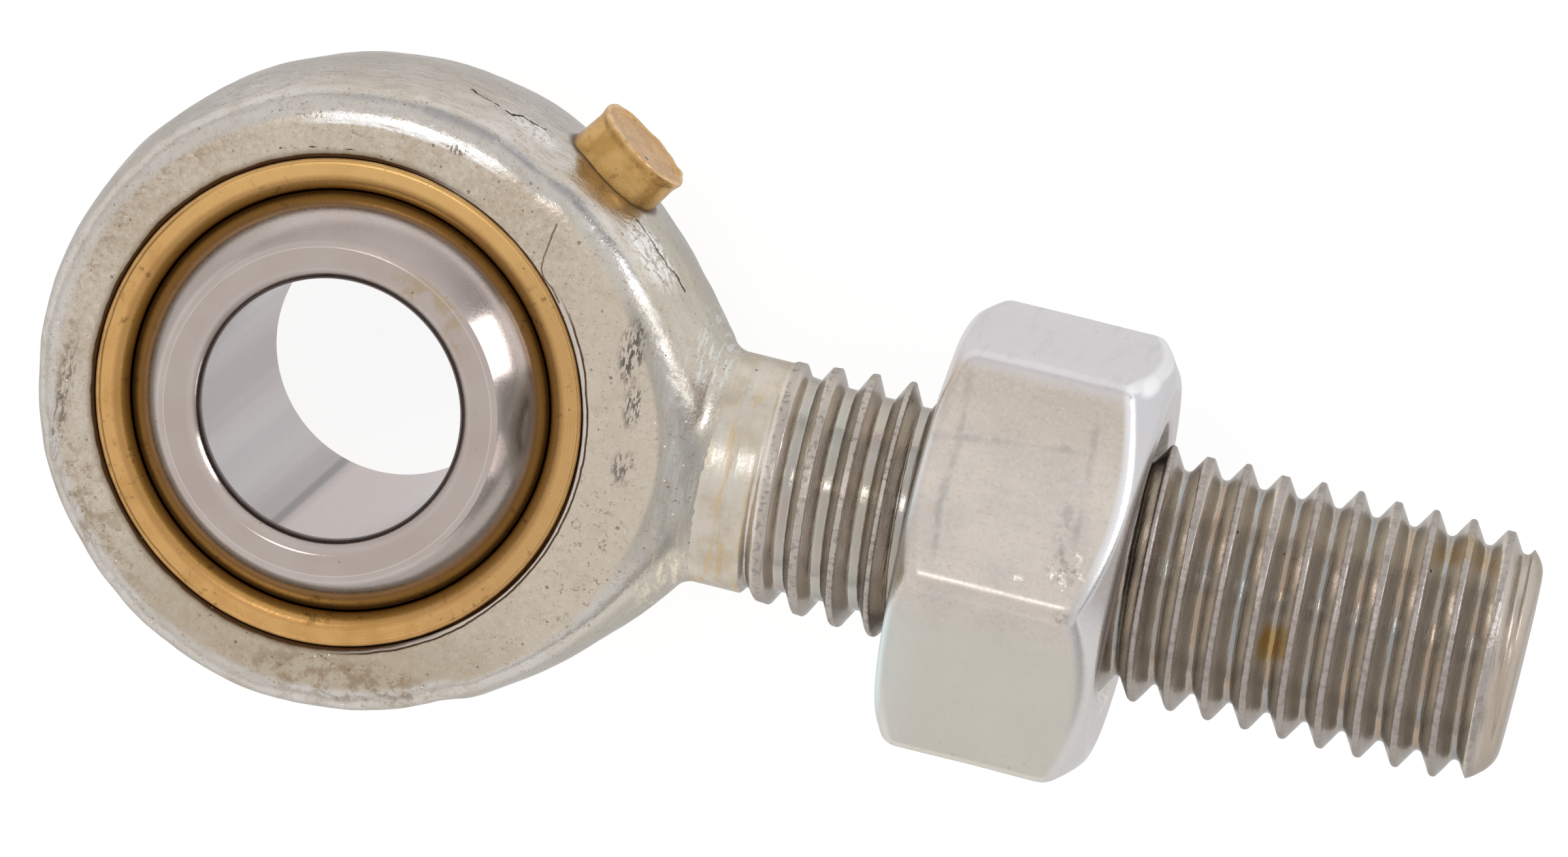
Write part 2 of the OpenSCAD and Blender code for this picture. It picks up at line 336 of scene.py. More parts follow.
def shank_radius(x, phase, a):
    """Radius of the shank: plain, then truncated first crests, the full thread and the tip."""
    full = thread_profile(phase, x)
    crest = np.interp(x, [0, 19.6, 21.6, 23.6, 26], [5.47, 5.52, 5.72, 5.84, 5.9])
    shallow = np.interp(x, [19.0, 19.5, 20.8, 22.5, 60], [0.5, 0.2, 0.03, 0.0, 0.0])
    r = np.minimum(full + shallow * np.clip((5.6 - full) / 0.67, 0, 1), crest)
    start = np.clip((x - PLAIN_END + 0.1) / 0.2, 0, 1)
    inset = 0.03 * np.clip(16.86 - x, 0, 1)
    r = (PLAIN_R - inset) * (1 - start) + r * start
    tip = np.interp(x, [52.85, 53.6, 54.05, 54.3, 54.42, 54.5],
                    [5.92, 5.42, 5.03, 4.72, 4.5, 4.25])
    r = np.minimum(r, tip)
    # A few crests are worn lower on the upper side
    top = np.exp(-(((a - 0.25 + math.pi) % TAU - math.pi) / 0.9) ** 2)
    for worn_x, depth in WORN_CRESTS:
        limit = THREAD_R - depth * top * np.exp(-((x - worn_x) / 0.55) ** 4)
        r = np.minimum(r, limit)
    rough = np.clip((x - 18.5) / 1.5, 0, 1)
    return r + rough * 0.008 * waves(x, r * np.cos(a), r * np.sin(a), 9, 1.1)


def build_shank(material):
    """The shank as a screw surface, closed at the tip."""
    per_turn = 150
    half = [0.025, 0.05, 0.075, 0.1, 0.14, 0.2, 0.26, 0.31, 0.35, 0.385, 0.42, 0.46]
    phases = np.array([-0.5, *[-v for v in half[::-1]], 0, *half])
    turns = np.arange(-14, 11)
    base = (turns[:, None] + phases).reshape(-1)
    a = np.arange(per_turn + 1) * TAU / per_turn
    lead = CREST_X + (a + TOP_ANGLE) / TAU * PITCH
    x = np.clip(base[:, None] * PITCH + lead, SHANK_START_X, TIP_X - 0.3)
    x[-1] = TIP_X - 0.3
    phase = ((x - lead) / PITCH + 0.5) % 1.0 - 0.5
    angle = a + 0 * x
    r = shank_radius(x, phase, angle)
    for back, share in ((0.19, 0.965), (0.1, 0.93), (0.03, 0.885), (0.004, 0.84),
                        (0, 0.79), (0, 0.4), (0, 0.004)):
        x = np.vstack([x, np.full(len(a), TIP_X - back)])
        r = np.vstack([r, r[len(base) - 1] * share])
    angle = a + 0 * x
    pts = np.stack([x, r * np.cos(angle), r * np.sin(angle)], -1)
    faces = grid_faces(len(x), len(a), wrap_cols=False)
    add_mesh("shank", pts, faces, "housing", "housing", material, weld=True)


# ---- ball, race and nipple

def build_ball(material):
    """The ball with its bore, whose mouths are soft chamfers."""
    # Three arcs, each from one slope of the mouth's normal to the next
    mouth = []
    r, z = BORE_R + MOUTH_W, BALL_HALF_W
    for start, end, radius in ((0, 34, 0.45), (34, 46, 1.9), (46, 90, 0.69)):
        tilts = np.radians(np.linspace(start, end, 9))
        arc_r = r - radius * (np.sin(tilts) - np.sin(tilts[0]))
        arc_z = z + radius * (np.cos(tilts) - np.cos(tilts[0]))
        mouth += [(a, b, 0) for a, b in zip(arc_r[:-1], arc_z[:-1])]
        r, z = arc_r[-1], arc_z[-1]
    corners = [(BORE_R, 0, 0), (BORE_R, 6.6, 0), (BORE_R, z, 0)] + mouth[::-1]
    corners += [(7.56, BALL_HALF_W, 0.07), (7.836, 7.88, 0.03), (8.05, 7.66, 0)]
    half = rounded(corners, 5)[:-1]
    a = np.radians(np.arange(46.0, 0, -1.5))
    sphere = BALL_R * np.stack([np.cos(a), np.sin(a)], -1)
    sphere = sphere[sphere[:, 1] < half[-1][1] - 0.05]
    top = np.vstack([half, sphere, [[BALL_R, 0]]])
    profile = np.vstack([top, top[::-1][1:-1] * [1, -1]])
    pts = revolve(profile, ROUND_COLS)
    faces = grid_faces(len(profile), ROUND_COLS, wrap_rows=True)
    add_mesh("ball_skin", pts, faces, "ball", "ball", material)


def build_race(material):
    """The brass ring with its rolled lips and grease groove."""
    inner_r = BALL_R + 0.05
    lip_r = RACE_MOUTH_R + RACE_LIP_R
    lip_edge = RACE_MOUTH_R - 0.06
    lip_z = math.sqrt(inner_r ** 2 - lip_edge ** 2)
    top = [(RACE_R, 0, 0), (RACE_R, 5.05, 0.2), (RACE_FACE_R, 5.75, 0.05),
           (RACE_FACE_R, RACE_FACE_Z, 0.06), (11.14, RACE_FACE_Z, 0.03),
           (11.11, RACE_FACE_Z - 0.025, 0.02), (11.04, RACE_FACE_Z - 0.01, 0.03),
           (11.0, RACE_FACE_Z, 0.02), (lip_r + 0.04, RACE_FACE_Z, 0)]
    curl = ((lip_r - lip_edge) ** 2 + (RACE_FACE_Z - lip_z) ** 2) / 2 / (RACE_FACE_Z - lip_z)
    for a in np.radians(np.linspace(95, 158, 11)):
        top.append((lip_r + curl * math.cos(a), RACE_FACE_Z - curl + curl * math.sin(a), 0))
    top.append((lip_edge, lip_z, 0.03))
    first = math.degrees(math.asin(lip_z / inner_r)) - 1.0
    arc = [(inner_r * math.cos(a), inner_r * math.sin(a), 0)
           for a in np.radians(np.linspace(first, 6.5, 16))]
    groove = [(inner_r * math.cos(math.radians(5.13)), 1.0, 0), (inner_r + 0.4, 1.0, 0.1),
              (inner_r + 0.4, 0, 0)]
    half = rounded(top + arc + groove, 5)
    profile = np.vstack([half, half[::-1][1:-1] * [1, -1]])
    pts = revolve(profile, ROUND_COLS)
    faces = grid_faces(len(profile), ROUND_COLS, wrap_rows=True)[:, ::-1]
    add_mesh("race_ring", pts, faces, "housing", "race", material)


def nipple_frame():
    """Foot, side, up and axis of the nipple, whose axis points out of the rim."""
    turn = math.radians(NIPPLE_ANGLE)
    tip = math.radians(NIPPLE_ANGLE + NIPPLE_LEAN)
    axis = np.array([math.cos(tip), math.sin(tip), 0])
    side = np.array([-math.sin(tip), math.cos(tip), 0])
    foot = NIPPLE_SEAT * np.array([math.cos(turn), math.sin(turn), 0])
    return foot, side, np.array([0, 0, 1.0]), axis


def build_nipple(material):
    """The head of the grease nipple, with an uneven, peened edge."""
    foot, side, up, axis = nipple_frame()
    profile = rounded([(0.002, -0.35, 0), (2.4, -0.35, 0.1), (2.42, 0.1, 0.2), (2.4, 1.2, 1),
                       (2.37, 1.9, 1), (2.44, 2.22, 0.2), (2.44, 2.41, 0.15), (2.12, 2.41, 0.15),
                       (1.95, 2.33, 0.2), (1.2, 2.3, 0.6), (0.002, 2.28, 0)], 6)
    cols = 160
    pts = revolve(profile, cols)
    x, y, z = pts[..., 0], pts[..., 1], pts[..., 2]
    r = np.sqrt(x * x + y * y) + 1e-9
    edge = np.clip((z - 2.0) / 0.35, 0, 1) * np.clip((r - 1.9) / 0.4, 0, 1)
    burr = edge * (0.035 * waves(x, y, z * 0, 21, 1.6) + 0.02 * waves(x, y, z * 0, 22, 0.6))
    wall = np.clip(r / 2, 0, 1) * 0.012 * waves(x, y, z, 23, 1.5)
    grow = 1 + (burr + wall) / r
    end = 0.012 * waves(x, y, z * 0, 25, 1.4) * (z > 1)
    z = z + edge * 0.03 * waves(x, y, z * 0, 24, 1.1) + end
    world = foot + np.stack([x * grow, y * grow, z], -1) @ np.array([side, up, axis])
    faces = grid_faces(len(profile), cols)[:, ::-1]
    add_mesh("nipple_head", world, faces, "housing", "grease_nipple", material)


# ---- nut

def nut_body(u, y, z):
    """Signed distance to the nut, with u along the shank from the nut's middle."""
    half = NUT_H / 2
    y = y - NUT_SHIFT
    rho = np.sqrt(y * y + z * z)
    sides = []
    for k in range(3):
        t = math.radians(NUT_TURN + 60 * k)
        sides.append(np.abs(y * math.cos(t) + z * math.sin(t)) - NUT_AF / 2)
    hexagon = round_cut(round_cut(sides[0], sides[1], 0.5), sides[2], 0.5)
    face_r = np.where(u > 0, 8.8 + 0.15 * np.clip(-y / 8, 0, 1), 9.4)
    soft = np.where(u > 0, 0.34 + 0.2 * np.clip(-y / 3, 0, 1), 0.5)
    lean = np.radians(np.where(u > 0, 33.5, 30.0))
    cone = (np.abs(u) - half) * np.cos(lean) + (rho - face_r) * np.sin(lean)
    body = round_cut(hexagon, cone, soft)
    body = round_cut(body, np.abs(u) - half, 0.2)
    sink = -(rho - NUT_SINK_R - (np.abs(u) - half)) / math.sqrt(2)
    body = round_cut(body, sink, 0.08)
    return round_cut(body, NUT_BORE_R - rho, 0.06)


def build_nut(material):
    """The nut: sections through the shank axis."""
    corner = spread([(0, 4.5, 0.45), (4.5, 30, 1.5)])
    one = np.concatenate([-corner[::-1][:-1], corner[:-1]])
    angle = np.radians(np.concatenate([NUT_TURN + 30 + 60 * k + one for k in range(6)]))
    ca, sa = np.cos(angle), np.sin(angle)

    def fn(r, u, ca, sa):
        place = u + 0 * r, r * ca, r * sa
        return nut_body(*place) + 0.016 * waves(*place, 31, 5)

    quarter = spread([(90, 44, 3.2), (44, 13, 0.62), (13, -8, 2.0), (-8, -24, 0.9), (-24, -90, 6.0)])
    # Directions are measured from +r towards +u
    directions = np.radians(90 - np.concatenate([quarter, (180 - quarter)[::-1][1:-1]]))
    r, u = solve_section(fn, NUT_CORE_R, ca, sa, directions, 8.0)
    pts = np.stack([NUT_X + NUT_H / 2 + u, r * ca, r * sa], -1)
    faces = grid_faces(len(directions), len(angle), wrap_rows=True)
    add_mesh("nut_skin", pts, faces, "lock_nut", "lock_nut", material)


# ---- materials

class Nodes:
    """Builds a node tree. A value is a number, a tuple or the output of another node."""

    def __init__(self, tree):
        self.tree = tree

    def put(self, socket, value):
        if isinstance(value, bpy.types.NodeSocket):
            self.tree.links.new(value, socket)
        else:
            socket.default_value = (*value, 1) if socket.type == "RGBA" else value

    def node(self, kind, *values, **named):
        """A new node: names in small letters are its settings, the others its inputs."""
        n = self.tree.nodes.new("ShaderNode" + kind)
        for key in [k for k in named if k.islower()]:
            setattr(n, key, named.pop(key))
        for i, value in enumerate(values):
            self.put(n.inputs[i], value)
        for key, value in named.items():
            self.put(n.inputs[key], value)
        return n

    def math(self, op, a, b=0, clamp=False):
        return self.node("Math", a, b, operation=op, use_clamp=clamp).outputs[0]

    def fold(self, op, values):
        out = values[0]
        for v in values[1:]:
            out = self.math(op, out, v)
        return out

    def times(self, *values):
        return self.fold("MULTIPLY", values)

    def most(self, *values):
        return self.fold("MAXIMUM", values)

    def plus(self, a, b):
        return self.math("ADD", a, b)

    def minus(self, a, b):
        return self.math("SUBTRACT", a, b)

    def gap(self, a, b):
        return self.math("ABSOLUTE", self.minus(a, b))

    def sway(self, value, noise, swing):
        """Value that wanders with a noise, by half the swing each way."""
        return self.plus(value, self.times(self.minus(noise, 0.5), swing))

    def split(self, vector):
        return self.node("SeparateXYZ", vector).outputs

    def vector(self, op, a, b=None):
        n = self.node("VectorMath", a, operation=op)
        if b is not None:
            self.put(n.inputs["Scale" if op == "SCALE" else 1], b)
        return n.outputs["Value"] if op in ("LENGTH", "DOT_PRODUCT") else n.outputs[0]

    def step(self, value, low, high, to=(0, 1)):
        """Value mapped smoothly from low..high, which may fall, to to[0]..to[1]."""
        return self.node("MapRange", value, low, high, *to,
                         interpolation_type="SMOOTHSTEP").outputs[0]

    def between(self, value, a, b, c, d):
        """1 from b to c, fading to 0 at a and d."""
        return self.times(self.step(value, a, b), self.step(value, d, c))

    def ramp(self, value, stops):
        """Colour from a list of (place between 0 and 1, colour)."""
        n = self.node("ValToRGB", value)
        elements = n.color_ramp.elements
        elements.remove(elements[1])
        elements[0].position, elements[0].color = stops[0][0], (*stops[0][1], 1)
        for place, color in stops[1:]:
            elements.new(place).color = (*color, 1)
        return n.outputs["Color"]

    def mix(self, share, a, b):
        return self.node("Mix", data_type="RGBA", Factor=share, A=a, B=b).outputs["Result"]


class Shader(Nodes):
    """One material of the part, with lengths in millimetres. It keeps its colour, roughness
    and normals while layers are painted and pressed on."""

    def __init__(self, name):
        self.material = bpy.data.materials.new(name)
        self.material.use_nodes = True
        super().__init__(self.material.node_tree)
        self.color = self.rough = self.normal = None
        self.mm = self.vector("SCALE", self.node("TexCoord").outputs["Object"], 1 / MM)
        self.axes = self.split(self.mm)

    def radius(self, axes):
        """Distance from the origin along the axes that are 1."""
        return self.vector("LENGTH", self.vector("MULTIPLY", self.mm, axes))

    def around(self, stretch):
        """Place round the bore axis, where radius and height count the given times as much."""
        flat = self.vector("MULTIPLY", self.mm, (1, 1, 0))
        ring = self.vector("SCALE", self.vector("NORMALIZE", flat), BORE_R * 2)
        across = self.plus(self.vector("LENGTH", flat), self.axes[2])
        join = self.node("CombineXYZ", Z=self.times(across, stretch))
        return self.vector("ADD", ring, join.outputs[0])

    def nipple_distance(self):
        """Distance from the axis of the grease nipple."""
        foot, _, _, axis = nipple_frame()
        away = self.vector("SUBTRACT", self.mm, foot)
        return self.vector("LENGTH", self.vector("CROSS_PRODUCT", away, axis))

    def noise(self, size, detail=3, rough=0.6, stretch=(1, 1, 1), seed=0, vector=None):
        """Noise between 0 and 1 with features of the given size."""
        place = self.node("Mapping", vector or self.mm, Scale=stretch,
                          Location=(seed, seed * 0.7, -seed)).outputs[0]
        return self.node("TexNoise", place, Scale=1 / size, Detail=detail,
                         Roughness=rough).outputs["Fac"]

    def dots(self, size, share, radius, seed):
        """Round dots: the share of cells that hold one, and their radius in cells."""
        place = self.node("Mapping", self.mm, Location=(seed, -seed, seed * 1.3)).outputs[0]
        n = self.node("TexVoronoi", place, Scale=1 / size)
        near = self.step(n.outputs["Distance"], radius, radius * 0.6)
        pick = self.split(n.outputs["Color"])[0]
        return self.times(near, self.step(pick, 1 - share, 1 - share + 0.02))

    def blob(self, centre, radii, soft=0.6):
        """1 inside an ellipsoid, fading to 0 at its surface."""
        away = self.vector("DIVIDE", self.vector("SUBTRACT", self.mm, centre), radii)
        return self.step(self.vector("LENGTH", away), 1, 1 - soft)

    def polyline(self, points, width, wander=0.1, soft=0.04):
        """1 on a line through the points on the surface, which wanders a little."""
        wave = self.node("TexNoise", self.mm, Scale=2.2, Detail=3).outputs["Color"]
        shift = self.vector("SUBTRACT", wave, (0.5, 0.5, 0.5))
        place = self.vector("ADD", self.mm, self.vector("SCALE", shift, wander * 2))
        gaps = []
        for a, b in zip(points, points[1:]):
            d = [q - p for p, q in zip(a, b)]
            from_a = self.vector("SUBTRACT", place, a)
            share = self.math("MULTIPLY", self.vector("DOT_PRODUCT", from_a, d),
                              1 / sum(c * c for c in d), clamp=True)
            along = self.vector("SCALE", d, share)
            gaps.append(self.vector("LENGTH", self.vector("SUBTRACT", from_a, along)))
        return self.step(self.fold("MINIMUM", gaps), width / 2 + soft, width / 2)

    def paint(self, color, *shares):
        """Lays a colour over the material, as strongly as the shares multiplied."""
        self.color = self.mix(self.times(*shares), self.color, color)

    def roughen(self, share, change):
        """Changes the roughness as far as the share goes."""
        self.rough = self.plus(self.rough, self.times(share, change))

    def bump(self, height, depth):
        """Presses in a height between 0 and 1, with depth in millimetres."""
        n = self.node("Bump", Height=height, Distance=depth * MM, Strength=1)
        if self.normal is not None:
            self.put(n.inputs["Normal"], self.normal)
        self.normal = n.outputs[0]

    def finish(self, edge=0.6):
        """The metal, with the brightness of its edges."""
        for name, value in (("Base Color", self.color), ("Roughness", self.rough), ("Metallic", 1),
                            ("Specular Tint", (edge, edge, edge)), ("Normal", self.normal)):
            self.put(self.tree.nodes["Principled BSDF"].inputs[name], value)
        return self.material


# Lines on the eye: two cracks of the forging, a hairline and a scratch on the face
CRACK_TOP = [(2.55, 14.77, 2.12), (3.21, 14.6, 2.57), (4.19, 14.35, 2.63), (4.65, 14.2, 2.75),
             (5.06, 14.15, 2.15), (5.62, 13.95, 2.03), (6.16, 13.76, 1.75)]
CRACK_NECK = [(11.17, 10.85, 2.5), (12.19, 9.89, 2.48), (12.65, 9.45, 2.47), (13.01, 9.08, 2.49),
              (13.62, 8.51, 2.13), (14, 8.06, 2.2)]
HAIRLINE = [(8.21, 10.5, 6), (7.95, 8.94, 6), (7.92, 8.38, 6), (8.12, 7.98, 6),
            (8.6, 7.6, 6), (9.03, 7.05, 6)]
SCRATCH_TOP = [(-4.85, 10.9, 6), (-3.54, 11.28, 6), (-2.3, 11.52, 6), (-1.4, 11.63, 6),
               (0.27, 11.6, 6)]
# Dark scuffs on the face: place, size and strength. Brown stains: place and size.
SCUFFS = [((12.75, 5.6), (0.8, 2), 1), ((13.3, 3.2), (0.55, 1.4), 1),
          ((13.4, 0.3), (0.7, 1.1), 0.8), ((-12.5, -3), (0.55, 4.4), 0.7),
          ((3.1, 12.75), (0.7, 0.35), 1)]
STAINS = [((3.5, -12.4, 6), (6, 1.6, 2)), ((12.6, -4.5, 6), (2.4, 6, 3)),
          ((-10.4, -7.6, 6), (3, 3, 2)), ((-3.5, 12.8, 6), (6, 1, 2))]


def zinc_forged():
    s = Shader("zinc_forged")
    x, y, z = s.axes
    up = s.math("ABSOLUTE", z)
    round_z = s.radius((1, 1, 0))
    angle = s.math("ARCTAN2", y, x)
    flat = s.step(up, 5.86, 5.97)
    bevel = s.times(s.step(up, 4.9, 5.4), s.minus(1, flat))
    rows = s.around(5)
    patch = s.noise(5, 3, 0.55, seed=1)
    cloud = s.noise(1.3, 4, seed=3)
    worm = s.noise(0.42, 3, 0.55, seed=7)
    fine = s.noise(0.13, seed=9)
    grain = s.noise(0.06, 2, seed=11)
    streak = s.noise(1.1, 5, 0.66, seed=33, vector=rows)
    broken = s.step(s.noise(0.5, 2, 0.5, seed=15), 0.5, 0.62)

    face = s.mix(s.step(patch, 0.35, 0.65), (0.575, 0.49, 0.395), (0.635, 0.565, 0.475))
    dust = s.noise(0.3, 5, 0.75, seed=49)
    face = s.mix(s.step(dust, 0.5, 0.36, (0, 0.5)), face, (0.74, 0.685, 0.6))
    face = s.mix(s.step(dust, 0.52, 0.66, (0, 0.45)), face, (0.43, 0.345, 0.25))
    face = s.mix(s.times(s.step(y, -6, -12), 0.6), face, (0.46, 0.385, 0.29))
    face = s.mix(s.times(s.step(x, 8, 12), 0.6), face, (0.66, 0.59, 0.5))
    rim = s.mix(s.step(patch, 0.35, 0.65), (0.6, 0.545, 0.48), (0.67, 0.625, 0.58))
    rim = s.mix(s.step(streak, 0.48, 0.64, (0, 0.7)), rim, (0.5, 0.45, 0.385))
    s.color = s.mix(flat, rim, face)
    s.paint((0.58, 0.56, 0.53), bevel, s.step(s.plus(x, y), -8, 4, (0.3, 0.6)))
    s.paint((0.47, 0.39, 0.29), s.step(cloud, 0.5, 0.75, (0, 0.35)))

    # The neck: olive-grey in front; along the foot of its fillet, scratches painted as highlights, cool
    # above and golden below
    neck = s.times(s.step(x, 10.5, 13), s.step(up, 5.9, 5.2))
    s.paint((0.56, 0.515, 0.43), neck, 0.7)
    foot = s.between(x, 14.7, 15.6, 16.4, 17)
    hoops = s.noise(0.22, 4, 0.65, stretch=(1, 0.14, 0.14), seed=35)
    scratch_highlight = s.times(foot, s.step(hoops, 0.5, 0.6))
    s.paint((0.8, 0.86, 0.85), scratch_highlight, s.step(y, -2, 2), 0.6)
    s.paint((0.95, 0.84, 0.66), scratch_highlight, s.step(y, 1, -3), 0.6)

    # Edges worn bright, painted as highlights on the top and the right of the edge, with a painted dark
    # reflection line inside them
    top = s.times(s.between(angle, 1.1, 1.25, 1.75, 1.95), s.between(up, 5.86, 5.93, 5.99, 5.999))
    right = s.times(s.between(angle, -0.25, 0, 0.45, 0.62), s.between(up, 5.3, 5.5, 5.85, 5.96))
    lengthy = s.noise(2.2, 3, 0.55, seed=34, vector=s.around(13))
    wear_and_painted_light = s.most(s.times(top, s.step(lengthy, 0.36, 0.48)),
                  s.times(right, s.step(lengthy, 0.47, 0.56), 0.45))
    s.paint((0.93, 0.92, 0.91), wear_and_painted_light, 0.9)
    inner = s.times(s.between(up, 5, 5.3, 5.5, 5.7), s.between(angle, -0.3, 0.1, 1.5, 1.9),
                    s.step(lengthy, 0.6, 0.45))
    s.paint((0.3, 0.305, 0.335), inner, 0.5)
    # Painted shade on the edge beside the neck, which tones down its highlight
    turned = s.times(s.between(up, 4.5, 5.2, 5.95, 5.995), s.between(angle, -0.4, -0.1, 0.5, 0.62))
    s.paint((0.34, 0.32, 0.285), turned, 0.6)

    # Brown worm-like traces in the plating, thicker in a few places
    worms = s.times(s.step(s.gap(worm, 0.5), 0.035, 0), broken)
    stain = s.most(*[s.blob(at, size) for at, size in STAINS], s.step(patch, 0.5, 0.7, (0.2, 0.65)))
    s.paint((0.22, 0.145, 0.08), worms, stain, 0.8)
    stain_and_shade = s.times(s.blob((3, -12.6, 6), (7, 1.5, 2)),
                   s.step(s.noise(0.7, 4, 0.65, seed=19), 0.42, 0.6), 0.6)
    lower_film = s.times(s.blob((-10.6, -7.4, 6), (2.4, 3.2, 1.5)), s.step(cloud, 0.48, 0.6), 0.5)
    far_film = s.times(s.step(s.gap(round_z, 13), 0.9, 0.2), s.step(x, -5, -9), flat,
                       s.step(s.noise(0.45, 4, 0.7, seed=39), 0.48, 0.62), 0.45)
    stain_and_shade = s.most(stain_and_shade, lower_film, far_film)
    s.paint((0.26, 0.175, 0.1), stain_and_shade)
    speck = s.times(s.step(s.noise(0.17, 3, 0.65, seed=41), 0.585, 0.68),
                    s.step(cloud, 0.35, 0.6, (0.2, 0.7)))
    s.paint((0.33, 0.235, 0.145), speck)

    # Scuffs and small pits
    rubbed = s.step(s.noise(0.32, 5, 0.7, stretch=(2.1, 0.6, 1), seed=23), 0.48, 0.56)
    scuff = s.most(*[s.times(s.blob((*at, 6), (*size, 1)), share) for at, size, share in SCUFFS])
    s.paint((0.075, 0.06, 0.065), scuff, rubbed, 0.85)
    pits = s.most(s.dots(0.9, 0.25, 0.1, seed=5), s.times(s.dots(0.45, 0.16, 0.14, seed=6), 0.8))
    s.paint((0.19, 0.125, 0.08), pits, 0.55)

    # Cracks of the forging, the dark joint of the rolled lip, a painted shadow on its far side, and
    # painted shade round the nipple's foot
    cracks = s.most(s.polyline(CRACK_TOP, 0.09, 0.16, 0.06),
                    s.times(s.polyline(CRACK_NECK, 0.07, 0.2, 0.08), 0.75))
    hairs = s.most(s.times(s.polyline(HAIRLINE, 0.04, 0.05), 0.75),
                   s.times(s.polyline(SCRATCH_TOP, 0.03, 0.08), broken))
    near_face = s.step(z, 5.7, 5.9)
    wavy = s.sway(round_z, s.noise(1.6, seed=29), 0.22)
    window = s.times(s.between(angle, -1.5, -1.2, 0.5, 0.75), near_face)
    joint = s.times(s.step(s.gap(wavy, 11.6), 0.075, 0.02), window)
    lower = s.times(s.step(s.gap(wavy, 11.5), 0.05, 0.01), s.between(angle, -2.5, -2.2, -1.2, -1),
                    near_face, 0.6)
    away_side = s.step(s.gap(angle, 0.15), 0.9, 1.4)
    shadow = s.times(s.step(wavy, 11.8, 11.44), away_side, s.step(up, 5.8, 5.9), 0.75)
    s.paint((0.22, 0.155, 0.09), shadow)
    seat = s.times(s.step(round_z, 11.4, 11.32), s.step(cloud, 0.35, 0.6, (0.7, 0.2)))
    seat = s.most(s.times(s.step(wavy, 11.53, 11.44), away_side), seat)
    sliver = s.times(s.step(round_z, 11.6, 11.56), s.step(round_z, 11.38, 11.43), window)
    s.paint((0.66, 0.62, 0.58), sliver, 0.7)
    round_nipple = s.nipple_distance()
    foot_shade = s.times(s.step(round_nipple, 2.8, 2.45), s.step(y, 0, 4), 0.8)
    dark = s.most(cracks, hairs, joint, lower, seat, foot_shade)
    s.paint((0.065, 0.025, 0.006), dark, 0.95)

    # Painted glints, and painted highlights thick on the rough patch beside the nipple
    painted_glints = s.times(s.dots(0.32, 0.09, 0.17, seed=31), s.step(patch, 0.42, 0.6))
    coarse = s.most(s.blob((12.3, 9.6, 3.2), (2.6, 2.3, 2)),
                    s.times(s.blob((6, 13.8, 2.6), (2.2, 1, 1.3)), 0.8))
    painted_highlights = s.times(coarse, s.step(s.noise(0.32, seed=43), 0.4, 0.52))
    s.paint((0.97, 0.95, 0.92), s.most(painted_glints, s.times(painted_highlights, 0.85)))
    s.paint((0.055, 0.033, 0.022), cracks, 0.95)

    s.rough = s.step(fine, 0.3, 0.75, (0.31, 0.22))
    beside = s.times(s.step(round_nipple, 5.5, 3.2), s.step(y, 0, 4))
    s.roughen(s.most(bevel, beside), -0.08)
    s.roughen(wear_and_painted_light, -0.06)
    s.roughen(turned, 0.14)
    s.roughen(dark, 0.3)
    s.bump(cloud, 0.03)
    s.bump(streak, 0.02)
    s.bump(worm, 0.016)
    s.bump(grain, 0.004)
    s.bump(s.times(s.noise(0.27, seed=45), s.plus(coarse, 0.1)), 0.09)
    s.bump(s.minus(1, s.most(cracks, pits)), 0.07)
    return s.finish()


# Tones across one turn of the thread, from root to root, with painted light and shade on the flanks:
# those turned to the eye are painted dark, those turned to the tip lighter; crests worn and roots
# stained.
THREAD_TONES = ((0, (0.36, 0.325, 0.295)), (0.06, (0.35, 0.31, 0.28)), (0.12, (0.39, 0.355, 0.315)),
                (0.22, (0.42, 0.385, 0.34)), (0.28, (0.62, 0.565, 0.49)), (0.33, (0.84, 0.77, 0.68)),
                (0.4, (0.72, 0.655, 0.59)), (0.45, (0.41, 0.37, 0.34)), (0.54, (0.38, 0.345, 0.325)),
                (0.59, (0.44, 0.395, 0.37)), (0.67, (0.52, 0.47, 0.435)), (0.76, (0.45, 0.4, 0.36)),
                (0.83, (0.53, 0.47, 0.42)), (0.9, (0.63, 0.56, 0.47)), (0.95, (0.4, 0.36, 0.33)),
                (1, (0.36, 0.325, 0.295)))
# Where round the shank the flanks mirror the key lamp
SPARKLE_ANGLE = math.radians(74)


